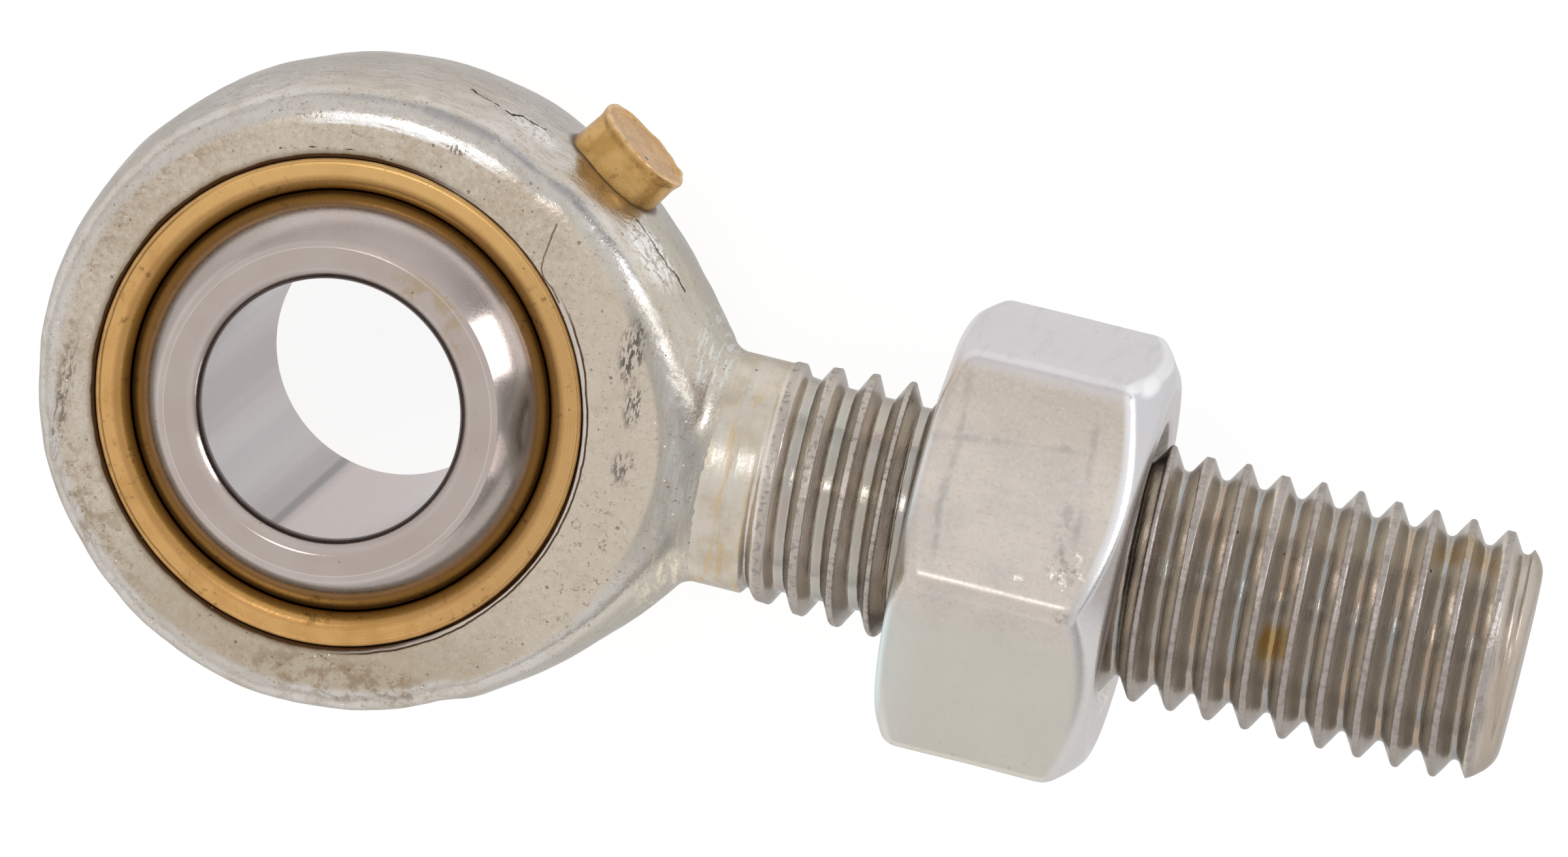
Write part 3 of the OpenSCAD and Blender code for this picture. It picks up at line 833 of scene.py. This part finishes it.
def zinc_shank():
    s = Shader("zinc_shank")
    x, y, z = s.axes
    r = s.radius((0, 1, 1))
    cloud = s.noise(1.4, 4, seed=5)
    fine = s.noise(0.12, seed=9)
    mottle = s.noise(0.3, seed=13)
    rings = s.noise(0.09, stretch=(1, 0.04, 0.04), seed=2)
    bands = s.noise(0.5, stretch=(1, 0.12, 0.12), seed=8)

    plain = s.mix(s.step(cloud, 0.4, 0.68), (0.67, 0.61, 0.53), (0.57, 0.5, 0.4))
    plain = s.mix(s.step(bands, 0.54, 0.66, (0, 0.75)), plain, (0.66, 0.5, 0.29))
    plain = s.mix(s.step(bands, 0.42, 0.32, (0, 0.35)), plain, (0.62, 0.67, 0.66))

    # Place across one turn of the thread: 0 on the crest, -0.5 and 0.5 in the root
    turn = s.math("DIVIDE", s.plus(s.math("ARCTAN2", z, y), TOP_ANGLE), TAU)
    phase = s.minus(s.math("DIVIDE", s.minus(x, CREST_X), PITCH), turn)
    phase = s.sway(phase, mottle, 0.06)
    phase = s.minus(s.math("FRACT", s.plus(phase, 0.5)), 0.5)
    away = s.math("ABSOLUTE", phase)
    crest = s.step(away, 0.13, 0.06)
    flat_root = s.step(x, 29, 25)
    root = s.most(s.step(away, 0.435, 0.485), s.times(flat_root, s.step(r, 5.04, 4.95)))

    flank = s.ramp(s.plus(phase, 0.5), THREAD_TONES)
    # Painted light and shade: the flanks near the nut painted bright, the upper side lighter and the
    # lower side darker
    left = s.times(flat_root, s.between(phase, -0.42, -0.36, -0.2, -0.14))
    flank = s.mix(s.times(left, 0.75), flank, (0.92, 0.84, 0.76))
    flank = s.mix(s.times(s.step(y, 3, 4.7), 0.5), flank, (0.62, 0.56, 0.48))
    flank = s.mix(s.times(s.step(y, -1.2, -3.6), 0.5), flank, (0.34, 0.295, 0.25))
    flank = s.mix(s.step(cloud, 0.45, 0.7, (0, 0.25)), flank, (0.4, 0.35, 0.28))
    # A painted dark reflection on the flanks round the angle where they mirror the key lamp
    dark_reflection = s.step(s.gap(s.math("ARCTAN2", z, y), SPARKLE_ANGLE), 0.17, 0.08)
    flank = s.mix(s.times(dark_reflection, s.step(away, 0.2, 0.4), 0.4), flank, (0.28, 0.275, 0.275))
    tints = s.noise(1.6, 2, 0.5, stretch=(1, 0.45, 0.45), seed=28)
    stained = s.mix(s.step(tints, 0.5, 0.6), (0.36, 0.32, 0.29), (0.45, 0.3, 0.18))
    stained = s.mix(s.step(tints, 0.46, 0.38), stained, (0.31, 0.355, 0.38))
    stained = s.mix(s.times(flat_root, 0.8), stained,
                    s.mix(s.step(cloud, 0.4, 0.6), (0.53, 0.475, 0.435), (0.48, 0.48, 0.42)))
    thread = s.mix(s.times(root, 0.75), flank, stained)
    # Crests in a worn colour, more of it on the upper side, as painted light
    wear_and_painted_light = s.mix(s.step(mottle, 0.46, 0.64), (0.44, 0.395, 0.37), (0.33, 0.29, 0.265))
    wear_and_painted_light = s.mix(s.times(flat_root, s.step(mottle, 0.6, 0.5), 0.8), wear_and_painted_light, (0.56, 0.51, 0.45))
    thread = s.mix(s.times(crest, s.step(y, -1.2, -3.6, (0.8, 0.5))), thread, wear_and_painted_light)
    oil = s.most(s.blob((43.4, -0.7, 5), (0.7, 1.3, 1)),
                 s.times(s.blob((51, 5, 2), (1.8, 1, 1.6)), 0.6))
    thread = s.mix(s.times(oil, 0.75), thread, (0.42, 0.27, 0.07))
    start = s.sway(x, cloud, 0.3)
    s.color = s.mix(s.step(start, 19.1, 19.4), plain, thread)
    tip = s.step(x, 53.3, 53.8)
    s.paint(s.mix(s.step(bands, 0.4, 0.6), (0.53, 0.47, 0.41), (0.47, 0.4, 0.33)), tip)
    s.paint((0.3, 0.22, 0.15), s.step(fine, 0.62, 0.74, (0, 0.3)))
    s.paint((0.06, 0.05, 0.05), s.dots(1.1, 0.12, 0.09, seed=3))

    s.rough = s.step(fine, 0.3, 0.7, (0.19, 0.29))
    s.roughen(s.step(x, 19.5, 19.1), s.step(bands, 0.36, 0.62, (0.08, 0.2)))
    s.roughen(s.most(crest, tip), 0.12)
    s.roughen(root, -0.08)
    s.bump(rings, 0.012)
    s.bump(bands, 0.03)
    s.bump(mottle, 0.01)
    s.bump(s.times(mottle, crest), 0.025)
    return s.finish()


# Marks and bright nicks on the nut's middle face
NUT_MARKS = [[(27.9, 8.43, 6.22), (28.2, 5.6, 7.7), (28.1, 3, 9.1), (28.5, 0.36, 10.51)],
             [(26.66, 5.58, 7.73), (33.74, 6.38, 7.31)],
             [(33.9, 7.6, 6.7), (34.4, 4.6, 8.2), (34.3, 2.6, 9.3)]]
NUT_NICKS = [[(32.25, 0.85, 10.3), (32.5, 0.8, 10.33)], [(33.5, 1.5, 9.95), (33.75, 1.25, 10.1)],
             [(34.2, 1.3, 10.07), (34.4, 0.95, 10.25)], [(34.7, 2.3, 9.55), (34.85, 2, 9.7)],
             [(34.95, 1.6, 9.9), (35.1, 1.35, 10.05)]]


def zinc_nut():
    s = Shader("zinc_nut")
    x, y, z = s.axes
    r = s.radius((0, 1, 1))
    cloud = s.noise(2.6, 4, seed=5)
    mottle = s.noise(0.5, 4, 0.65, seed=7)
    fine = s.noise(0.11, seed=9)
    drawn = s.noise(0.3, stretch=(0.12, 1, 1), seed=12)
    smudge = s.noise(1.5, 3, 0.55, seed=14)
    dust = s.noise(0.2, 4, 0.72, seed=16)
    s.color = s.mix(s.step(cloud, 0.35, 0.68), (0.67, 0.61, 0.555), (0.6, 0.555, 0.51))
    s.paint((0.7, 0.58, 0.44), s.step(mottle, 0.5, 0.72, (0, 0.3)))
    s.paint((0.56, 0.475, 0.385), s.step(y, 5, 8.2), s.step(z, 5, 6.5), 0.45)
    s.paint((0.42, 0.42, 0.46), s.step(drawn, 0.56, 0.72, (0, 0.22)))
    s.paint((0.4, 0.33, 0.27), s.step(fine, 0.62, 0.76, (0, 0.16)))
    s.paint((0.45, 0.38, 0.31), s.step(dust, 0.54, 0.68, (0, 0.42)))
    s.paint((0.74, 0.7, 0.66), s.step(dust, 0.46, 0.34, (0, 0.4)))
    # Painted reflections: a cool tone on the faces that look up, cream on those that look down
    upper_faces_reflection = s.step(y, 8.4, 9.4)
    brushed = s.noise(0.5, 4, 0.65, stretch=(1, 1, 0.15), seed=18)
    s.paint((0.71, 0.69, 0.72), upper_faces_reflection, 0.85)
    s.paint((0.52, 0.52, 0.56), upper_faces_reflection, s.step(brushed, 0.5, 0.7), 0.35)
    lower_faces_reflection = s.step(y, -0.6, -3)
    s.paint((0.625, 0.61, 0.54), lower_faces_reflection, 0.7)
    s.paint((0.66, 0.76, 0.78), lower_faces_reflection, s.step(x, 29, 27.2), 0.22)
    marks = s.most(*[s.polyline(m, 0.06, 0.2, 0.28) for m in NUT_MARKS])
    marks = s.times(marks, s.step(smudge, 0.3, 0.6), 0.5)
    haze = s.times(s.blob((33.9, 3.2, 8.8), (0.9, 2.4, 1.4)), s.step(mottle, 0.42, 0.62), 0.45)
    marks = s.most(marks, haze)
    s.paint((0.33, 0.315, 0.32), marks)
    gouge = s.most(*[s.polyline(m, 0.08, 0.3, 0.16) for m in NUT_NICKS])
    shade = s.times(s.blob((34.2, 1.7, 9.85), (1.1, 1.3, 0.9)),
                    s.step(s.noise(0.5, seed=21), 0.46, 0.6))
    corner = s.times(s.blob((34.75, -0.35, 10.8), (0.6, 0.5, 0.6)),
                     s.step(s.noise(0.25, seed=22), 0.42, 0.56), 0.9)
    s.paint((0.27, 0.24, 0.22), s.most(shade, corner), 0.55)
    s.paint((0.98, 0.92, 0.8), gouge, 0.7)

    # The chamfers are painted light and cool as painted reflections, changing from top to bottom; the
    # end face has a lilac cast
    turned = s.step(r, 8.3, 8.5)
    cone_gap = s.minus(s.plus(x, s.times(r, CONE_SLOPE)), CONE_TIP_X)
    right = s.times(s.step(cone_gap, -0.45, -0.15), turned)
    s.paint(s.mix(s.step(y, 4, -4), (0.6, 0.605, 0.645), (0.565, 0.55, 0.55)), right, 0.75)
    left = s.times(s.step(x, 27.15, 26.85), s.step(r, 8.7, 8.9))
    s.paint(s.mix(s.step(y, 5, 2), (0.84, 0.83, 0.83), (0.7, 0.8, 0.82)), left, 0.75)
    # A painted highlight where the chamfer meets the two upper faces, and a painted highlight patch on
    # the chamfer
    across = s.most(*[s.vector("DOT_PRODUCT", s.mm, (0, math.cos(a), math.sin(a)))
                      for a in (math.radians(NUT_TURN), math.radians(NUT_TURN + 60))])
    rim = s.times(s.step(cone_gap, -0.5, -0.2), s.step(across, 9.28, 9.42), s.step(y, 0.5, 2.5))
    rim = s.most(s.times(rim, 0.6), s.times(s.blob((35.65, 9.25, 3.6), (0.6, 0.55, 2.6)), right, 0.85))
    s.paint((0.97, 0.97, 0.98), rim)
    end = s.times(s.step(x, 36.3, 36.45), s.step(r, 8.5, 8.3))
    s.paint((0.63, 0.575, 0.61), end, 0.7)
    dotted = s.times(s.dots(0.36, 0.4, 0.26, seed=26), s.step(r, 10.1, 10.5), lower_faces_reflection,
                     s.step(x, 36, 35.4))
    s.paint((0.36, 0.31, 0.26), dotted, 0.45)
    # The countersink and the first turns of the nut's own thread, painted dark on the upper side as
    # shade and light on the lower side as painted light
    inside = s.step(r, 6.9, 6.75)
    sink = s.mix(s.step(y, 1.5, -3.5), (0.17, 0.15, 0.13), (0.8, 0.78, 0.74))
    s.paint(s.mix(s.step(mottle, 0.4, 0.6, (0, 0.4)), sink, (0.4, 0.36, 0.31)), inside)
    s.rough = s.step(fine, 0.3, 0.7, (0.3, 0.4))
    s.roughen(s.most(right, left, s.step(r, 9.75, 10.3, (0, 0.5))), -0.1)
    s.bump(cloud, 0.008)
    s.bump(mottle, 0.003)
    s.bump(s.minus(1, gouge), 0.05)
    return s.finish(edge=0.8)


def steel_ball():
    s = Shader("steel_ball")
    x, y, z = s.axes
    r = s.radius((1, 1, 0))
    angle = s.math("ARCTAN2", y, x)
    cloud = s.noise(2.5, 3, 0.5, seed=5)
    fine = s.noise(0.1, 2, seed=9)
    s.color = s.mix(s.step(cloud, 0.35, 0.68), (0.5, 0.43, 0.395), (0.525, 0.46, 0.43))
    # Painted shade deep in the gap on one side of the ball
    gap_shade = s.times(s.step(z, 6.9, 5.4), s.step(angle, -1, -1.7), 0.6)
    s.paint((0.2, 0.16, 0.14), gap_shade)
    # Painted shade on the sphere beside the faces, less of it towards the nipple, and over the sphere
    # from r 9.2 outward
    stain_and_shade = s.times(s.step(r, 7.86, 8.15), s.step(s.gap(angle, 1.3), 0.5, 1.2), 0.75)
    stain_and_shade = s.most(stain_and_shade, s.step(r, 8.95, 9.2))
    s.paint((0.26, 0.225, 0.205), stain_and_shade, 0.72)
    # Painted shade in the gap under the brass lip
    s.paint((0.07, 0.04, 0.018), s.step(r, 9.35, 9.7, (0, 0.5)))

    # The bore wall with soft bands along it, painted lighter on its lower and right side as painted
    # light, and the brown band at its mouth, painted in as shade
    wall = s.step(r, 6.1, 6.03)
    bands = s.noise(1.7, 2, 0.5, stretch=(1, 1, 0.015), seed=3)
    bore = s.mix(s.step(bands, 0.38, 0.62), (0.52, 0.47, 0.46), (0.44, 0.4, 0.395))
    pale = s.between(angle, -1.82, -1.7, -0.2, 0.4)
    bore = s.mix(s.times(pale, 0.85), bore, (0.67, 0.58, 0.555))
    bore = s.mix(s.times(s.step(angle, -1.95, -2.2), s.step(angle, -2.75, -2.5), 0.5), bore,
                 (0.6, 0.585, 0.6))
    seam = s.step(s.gap(angle, -1.83), 0.05, 0.015)
    bore = s.mix(s.times(seam, 0.7), bore, (0.22, 0.2, 0.2))
    s.paint(bore, wall)
    band = s.times(s.step(r, 6.13, 6.06), s.step(z, 6.98, 7.1), s.step(cloud, 0.3, 0.6, (0.75, 0.95)))
    s.paint((0.105, 0.08, 0.07), band)

    ring = s.times(s.step(z, 7.85, 7.98), s.step(s.noise(0.9, 4, seed=12), 0.42, 0.6))
    stain = s.most(s.blob((3.4, 6.2, 8), (3, 1.3, 0.6)), s.blob((5.2, 4.9, 8), (1.3, 1.8, 0.6)))
    s.paint((0.46, 0.355, 0.235), ring, stain, 0.75)
    # A painted highlight along the arris of the face
    arris = s.step(s.gap(r, 7.57), 0.05, 0.02)
    s.paint((0.82, 0.77, 0.74), arris, 0.25)
    specks = s.most(s.dots(0.8, 0.16, 0.1, seed=2), s.times(s.dots(0.35, 0.1, 0.14, seed=8), 0.6))
    s.paint((0.15, 0.12, 0.11), specks, 0.6)
    s.rough = s.step(fine, 0.3, 0.7, (0.12, 0.19))
    s.roughen(wall, 0.1)
    s.bump(fine, 0.0012)
    return s.finish(edge=0.8)


def brass_race():
    s = Shader("brass_race")
    x, y, _ = s.axes
    r = s.radius((1, 1, 0))
    angle = s.math("ARCTAN2", y, x)
    cloud = s.noise(1.6, 4, seed=4)
    fine = s.noise(0.12, seed=7)
    turned = s.math("SINE", s.plus(s.times(r, 42), s.times(cloud, 5)))
    s.color = s.mix(s.step(cloud, 0.38, 0.68), (0.685, 0.4, 0.152), (0.59, 0.33, 0.115))
    # Painted light: lighter towards the top, darker towards the right
    s.paint((0.77, 0.49, 0.195), s.step(y, 4, 10), 0.6)
    s.paint((0.52, 0.32, 0.135), s.step(x, 4, 9.5), 0.5)
    s.paint((0.8, 0.56, 0.26), s.step(turned, 0.2, 1, (0, 0.14)))
    # The lip is painted in shade where it turns down, and warm again where it faces the ball
    lip_shade = s.step(s.gap(r, 10.31), 0.28, 0.04)
    s.paint((0.36, 0.185, 0.06), lip_shade, 0.62)
    s.paint((0.6, 0.335, 0.078), s.step(r, 10.22, 10.04, (0, 0.9)))
    left = s.most(s.step(angle, 2.2, 2.6), s.step(angle, -1.9, -2.2))
    line = s.gap(r, s.sway(11.08, cloud, 0.12))
    line = s.times(s.step(line, 0.06, 0.01), left)
    edge = s.times(s.step(r, 11.15, 11.27), s.step(cloud, 0.3, 0.6, (0.6, 1)))
    tarnish = s.times(s.step(s.noise(0.5, 4, 0.65, seed=17), 0.56, 0.68),
                      s.step(s.noise(3, 2, 0.5, seed=27), 0.45, 0.6), 0.55)
    specks = s.most(s.dots(0.55, 0.2, 0.1, seed=6), s.times(s.dots(0.24, 0.12, 0.18, seed=16), 0.6))
    s.paint((0.13, 0.065, 0.025),
            s.most(s.times(line, 0.75), s.times(edge, 0.85), tarnish, s.times(specks, 0.7)))
    s.rough = s.step(fine, 0.3, 0.7, (0.26, 0.36))
    s.bump(fine, 0.003)
    s.bump(cloud, 0.01)
    return s.finish(edge=0.9)


def brass_nipple():
    s = Shader("brass_nipple")
    foot, side, up, axis = nipple_frame()
    high = s.minus(s.vector("DOT_PRODUCT", s.mm, axis), foot @ axis)
    out = s.nipple_distance()
    cloud = s.noise(0.9, 4, seed=14)
    fine = s.noise(0.1, seed=17)
    s.color = s.mix(s.step(cloud, 0.38, 0.66), (0.6, 0.375, 0.145), (0.5, 0.295, 0.095))
    end = s.step(high, 2.14, 2.24)
    s.paint(s.mix(s.step(cloud, 0.4, 0.62), (0.63, 0.385, 0.165), (0.54, 0.305, 0.115)), end)
    marks = s.times(end, s.step(s.math("SINE", s.times(out, 26)), 0.3, 1), s.step(out, 2.2, 1.9))
    s.paint((0.8, 0.62, 0.38), marks, 0.22)
    # Grime, with painted shade at the foot of the head where it meets the rim
    grime_and_base_shade = s.most(s.times(s.step(high, 0.3, 0.05), 0.9),
                   s.times(s.step(s.noise(0.5, seed=19), 0.6, 0.7), 0.35),
                   s.times(s.dots(0.3, 0.12, 0.16, seed=4), 0.5))
    s.paint((0.13, 0.07, 0.025), grime_and_base_shade)
    pit = s.blob(foot + axis * 2.3 - side * 0.5 + up * 1.35, (0.16, 0.16, 0.16), 0.4)
    s.paint((0.02, 0.015, 0.01), pit)
    bright = s.times(s.step(high, 2.28, 2.36), s.step(out, 2.15, 2.3),
                     s.step(s.noise(0.4, 2, 0.5, seed=23), 0.35, 0.5))
    s.paint((0.86, 0.68, 0.44), bright, 0.4)
    s.rough = s.step(fine, 0.3, 0.7, (0.25, 0.36))
    s.bump(cloud, 0.02)
    s.bump(fine, 0.006)
    return s.finish(edge=0.8)


# ---- stage, light and camera

def build_stage():
    """A pale floor that takes the shadow and looks white to the camera and in the metal."""
    z = cad_low[2] - 0.02 * MM
    s = 1.5
    mesh = bpy.data.meshes.new("floor")
    mesh.from_pydata([(-s, -s, z), (s, -s, z), (s, s, z), (-s, s, z)], [], [(0, 1, 2, 3)])
    white = bpy.data.materials.new("floor_white")
    white.use_nodes = True
    g = Nodes(white.node_tree)
    g.tree.nodes.clear()
    path = g.node("LightPath").outputs
    seen = g.most(path["Is Camera Ray"], path["Is Glossy Ray"])
    lit = g.node("BsdfDiffuse", (0.80, 0.79, 0.775)).outputs[0]
    shadow = g.node("BsdfDiffuse", (0.22, 0.22, 0.22)).outputs[0]
    glow = g.node("Emission", (1, 1, 1), 0.86).outputs[0]
    shown = g.node("AddShader", shadow, glow).outputs[0]
    g.node("OutputMaterial", g.node("MixShader", seen, lit, shown).outputs[0])
    mesh.materials.append(white)
    floor = add_object("floor", mesh)


def build_world():
    """A pale room, white to the camera and darker low down beyond the shank."""
    world = bpy.data.worlds.new("studio")
    bpy.context.scene.world = world
    world.use_nodes = True
    g = Nodes(world.node_tree)
    g.tree.nodes.clear()
    x, _, z = g.split(g.node("TexCoord").outputs["Generated"])
    room = g.ramp(z, ((0.0, (0.72, 0.70, 0.69)), (0.12, (0.82, 0.81, 0.81)),
                      (0.4, (1.0, 0.99, 0.99)), (0.75, (0.92, 0.91, 0.90)),
                      (1.0, (0.90, 0.88, 0.86))))
    low = g.times(g.step(z, 0.42, 0.10), g.step(x, 0.2, 0.85, (0, 0.55)))
    room = g.mix(low, room, (0.17, 0.165, 0.17))
    light = g.node("Background", room, 0.95).outputs[0]
    white = g.node("Background", (1, 1, 1), 1).outputs[0]
    seen = g.node("LightPath").outputs["Is Camera Ray"]
    g.node("OutputWorld", g.node("MixShader", seen, light, white).outputs[0])


def softbox(name, azimuth, elevation, distance, width, height, strength, color=(1, 1, 1)):
    """A soft lamp that looks at the part, with its strength as the radiance of its face."""
    light = bpy.data.lights.new(name, "AREA")
    light.shape = "RECTANGLE"
    light.size = width
    light.size_y = height
    light.energy = strength * width * height * math.pi
    light.color = color
    obj = add_object(name, light)
    a, e = math.radians(azimuth), math.radians(elevation)
    away = Vector((math.cos(e) * math.cos(a), math.cos(e) * math.sin(a), math.sin(e)))
    obj.location = Vector(LAMP_TARGET) + away * distance
    obj.rotation_euler = away.to_track_quat("Z", "Y").to_euler()


def build_camera():
    """The camera that was fitted to the photograph."""
    cam = bpy.data.cameras.new("camera")
    cam.sensor_fit = "HORIZONTAL"
    cam.sensor_width = 36.0
    cam.lens = CAMERA_LENS
    cam.clip_start = 0.01
    cam.clip_end = 10
    obj = add_object("camera", cam)
    back = Vector(CAMERA_BACK).normalized()
    up = back.cross(Vector(CAMERA_RIGHT).normalized()).normalized()
    m = Matrix((up.cross(back), up, back)).transposed().to_4x4()
    m.translation = Vector(CAMERA_AT)
    obj.matrix_world = m
    bpy.context.scene.camera = obj


build_eye(zinc_forged())
build_shank(zinc_shank())
build_ball(steel_ball())
build_race(brass_race())
build_nipple(brass_nipple())
build_nut(zinc_nut())

build_stage()
build_world()
softbox("key", 110, 67, 0.55, 0.12, 0.12, 3.2)
softbox("right", 30, 12.5, 0.50, 0.21, 0.15, 4.1)
softbox("right_low", -14.5, 7, 0.50, 0.16, 0.06, 1.1, (1.0, 0.94, 0.93))
build_camera()

bpy.context.scene.view_settings.view_transform = "Standard"
